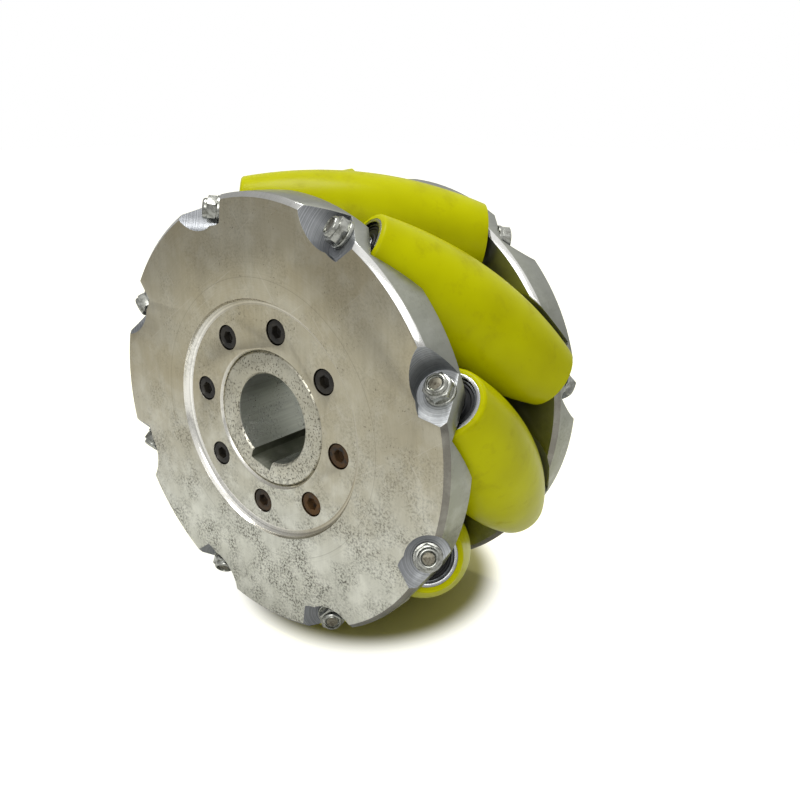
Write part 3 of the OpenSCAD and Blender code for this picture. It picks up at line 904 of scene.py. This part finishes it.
# %% [markdown]
# ## What every axle carries
# Inner rings, spacers, collars and washers don't turn with a roller. Each is drawn once, and
# the ring tree puts it on all eight axles. They are round, so they need no chance turn.

# %% Rings on the axles
NEAR = 25 * MM           # what is this near to an axle belongs to it
CHANCE_SEED = 7
WASHER_CORNER = 0.3 * MM

first_angle = math.atan2(first_axle.translation.z, first_axle.translation.x)


def on_axles(maker, finish, name, replaced, chance=0.0):
    """Puts a maker's piece on every axle and joins the copies in one mesh on the wheel."""
    use_tree(maker, ring, **{
        "Count": len(BODIES), "Axle Radius": axle_radius, "Tilt": tilt, "First Angle": first_angle,
        "Chance Turn": chance, "Seed": CHANCE_SEED, "Material": finish})
    piece = plain_mesh(maker, name)
    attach(piece, "root")
    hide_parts(*replaced)


inner_rings = [f"bearing_inner_rings_{number_of(body)}" for body in BODIES]
_, _, inner, outer = measure("bearing_inner_rings_1", first_axle)
outline = washer_outline(inner, outer, ring_in, ring_out)
on_axles(turned_piece(both_ends(outline), ground_steel), ground_steel,
         "turned_inner_rings", inner_rings)

_, high, inner, outer = measure("axle_collars", first_axle, NEAR)
outline = washer_outline(inner, outer, ring_out, high)
on_axles(turned_piece(both_ends(outline), ground_steel), ground_steel,
         "turned_collars", ["axle_collars"])

low, high, inner, outer = measure("bearing_spacers", first_axle, NEAR)
outline = washer_outline(inner, outer, low, high)
on_axles(turned_piece([outline], ground_steel), ground_steel,
         "turned_spacers", ["bearing_spacers"])

for side in ("front", "rear"):
    low, high, inner, outer = measure(f"{side}_washers", first_axle, NEAR)
    outline = washer_outline(inner, outer, low, high)
    on_axles(turned_piece([outline], zinc_plate, WASHER_CORNER), zinc_plate,
             f"{side}_plated_washers", [f"{side}_washers"])

# %% [markdown]
# ## Plates, hub, bolts, nuts and screws
# These were milled, turned and forged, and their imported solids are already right. A copy of
# each gets a small rounding on its edges, which is what catches the light, and a material
# for each way its faces were cut.

# %% Copy, finish and deburr
FLAT = math.radians(0.3)             # faces that bend less than this become one
SHARP_EDGE = math.radians(30)        # edges that bend more than this are rounded


def copy_of(node, name, finishes, chooser=None):
    """A cleaned copy of a node's mesh, with a finish chosen for each face."""
    shape = frame["nodes"][node].data.copy()
    shape.name = name
    shape.materials.clear()
    for finish in finishes:
        shape.materials.append(finish)
    made = bmesh.new()
    made.from_mesh(shape)
    bmesh.ops.remove_doubles(made, verts=made.verts, dist=WELD)
    for face in made.faces:
        face.material_index = chooser(face.calc_center_median(), face.normal) if chooser else 0
    bmesh.ops.dissolve_limit(
        made, angle_limit=FLAT, verts=made.verts, edges=made.edges, delimit={"MATERIAL"})
    made.to_mesh(shape)
    made.free()
    piece = bpy.data.objects.new(name, shape)
    scene.collection.objects.link(piece)
    return piece


def deburr(piece, width, segments=2):
    """Rounds every sharp edge a little."""
    bevel = piece.modifiers.new("deburred", "BEVEL")
    bevel.width = width
    bevel.segments = segments
    bevel.limit_method = "ANGLE"
    bevel.angle_limit = SHARP_EDGE
    bevel.use_clamp_overlap = True


def note_axle_place(shape):
    """Stores each point's place in the frame of the nearest axle, which the tool marks follow."""
    inverses = [place.inverted() for place in AXLES.values()]
    places = []
    for vertex in shape.vertices:
        local = [inverse @ vertex.co for inverse in inverses]
        places.extend(min(local, key=lambda point: math.hypot(point.x, point.y)))
    shape.attributes.new("axle_place", "FLOAT_VECTOR", "POINT").data.foreach_set("vector", places)


def finished(node, name, finishes, chooser, edge, segments=2):
    """Replaces a node on the root body by a copy with deburred edges."""
    piece = copy_of(node, name, finishes, chooser)
    deburr(piece, edge, segments)
    piece = plain_mesh(piece, name)
    if milled in finishes:
        note_axle_place(piece.data)
    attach(piece, "root")
    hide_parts(node)


# %% Plates and hub
CHAMFER_BAND = 2.2 * MM              # the rim and its chamfers lie this near to the edge
RECESS_REACH = 54 * MM               # the walls of the recess and its holes lie within this
KEYWAY_REACH = 4.5 * MM              # the keyway's walls end within this of the bore
TOLERANCE = 0.05 * MM
PLATE_EDGE = 0.2 * MM                # the rounding of the plates' and the hub's edges

plate_radius = measure("front_plate", wheel_frame)[3]
bore_radius = measure("hub", wheel_frame)[2]
plate_points = frame["nodes"]["front_plate"].data.vertices
inner_end = min(abs(vertex.co.y) for vertex in plate_points)
PLATE_FINISHES = (faced, turned_rim, cut_edge, turned_wall, milled, inner_face)
FACE, RIM, CHAMFER, WALL, SEAT, INSIDE = range(6)
HUB_FINISHES = (hub_end, bored, broached)
OUTSIDE, BORE, KEYWAY = range(3)


def plate_finish(point, normal):
    """The place in PLATE_FINISHES of the finish that a face of a plate has."""
    reach = math.hypot(point.x, point.z)
    if reach > plate_radius - CHAMFER_BAND:
        outwards = normal.x * point.x + normal.z * point.z > 0.5 * reach
        if outwards and abs(normal.y) < 0.05:
            return RIM
        if outwards and 0.68 < abs(normal.y) < 0.74:
            return CHAMFER
    if abs(normal.y) > 0.99:
        return FACE if abs(point.y) > inner_end + 2 * TOLERANCE else INSIDE
    return WALL if reach < RECESS_REACH else SEAT


def hub_finish(point, normal):
    """The place in HUB_FINISHES of the finish that a face of the hub has."""
    reach = math.hypot(point.x, point.z)
    if reach > bore_radius + KEYWAY_REACH or abs(normal.y) > 0.5:
        return OUTSIDE
    inwards = -(normal.x * point.x + normal.z * point.z) / reach
    return BORE if reach < bore_radius + TOLERANCE and inwards > 0.95 else KEYWAY


for side in ("front", "rear"):
    finished(f"{side}_plate", f"{side}_side_plate",
             PLATE_FINISHES, plate_finish, PLATE_EDGE)
finished("hub", "keyed_hub", HUB_FINISHES, hub_finish, PLATE_EDGE)

# %% Bolts and screws
BOLT_EDGE = 0.25 * MM
SCREW_EDGE = 0.5 * MM
SCREW_SEGMENTS = 3
BOLT_FINISHES = (zinc_plate, bare_end)
PLATED, BROWNED = range(2)

bolt_tip = measure("axle_bolt_1", first_axle)[1]

for body in BODIES:
    number = number_of(body)
    to_axle = AXLES[body].inverted()

    def bolt_finish(point, normal):
        """The place in BOLT_FINISHES: the cut end of the thread has browned."""
        return BROWNED if (to_axle @ point).z > bolt_tip - TOLERANCE else PLATED

    finished(f"axle_bolt_{number}", f"hexagon_bolt_{number}",
             BOLT_FINISHES, bolt_finish, BOLT_EDGE)

for side in ("front", "rear"):
    finished(f"{side}_hub_screws", f"{side}_socket_screws",
             (black_oxide,), None, SCREW_EDGE, SCREW_SEGMENTS)

# %% [markdown]
# A lock nut stops wherever the spanner leaves it. The nut on the first axle is cut out of the
# packed nuts and laid in its axle's own axes, and the ring tree turns each copy by chance.

# %% Lock nuts
NUT_EDGE = 0.2 * MM
MOST_TURN = math.pi / 3              # a hexagon looks the same after a sixth of a turn

nut = copy_of("lock_nuts", "nut", (zinc_plate,))
nut.data.transform(first_axle.inverted())
made = bmesh.new()
made.from_mesh(nut.data)
others = [
    vertex for vertex in made.verts
    if math.hypot(vertex.co.x, vertex.co.y) > NEAR or vertex.co.z < 0]
bmesh.ops.delete(made, geom=others, context="VERTS")
made.to_mesh(nut.data)
made.free()
deburr(nut, NUT_EDGE)
on_axles(nut, zinc_plate, "crowned_lock_nuts", ["lock_nuts"], MOST_TURN)
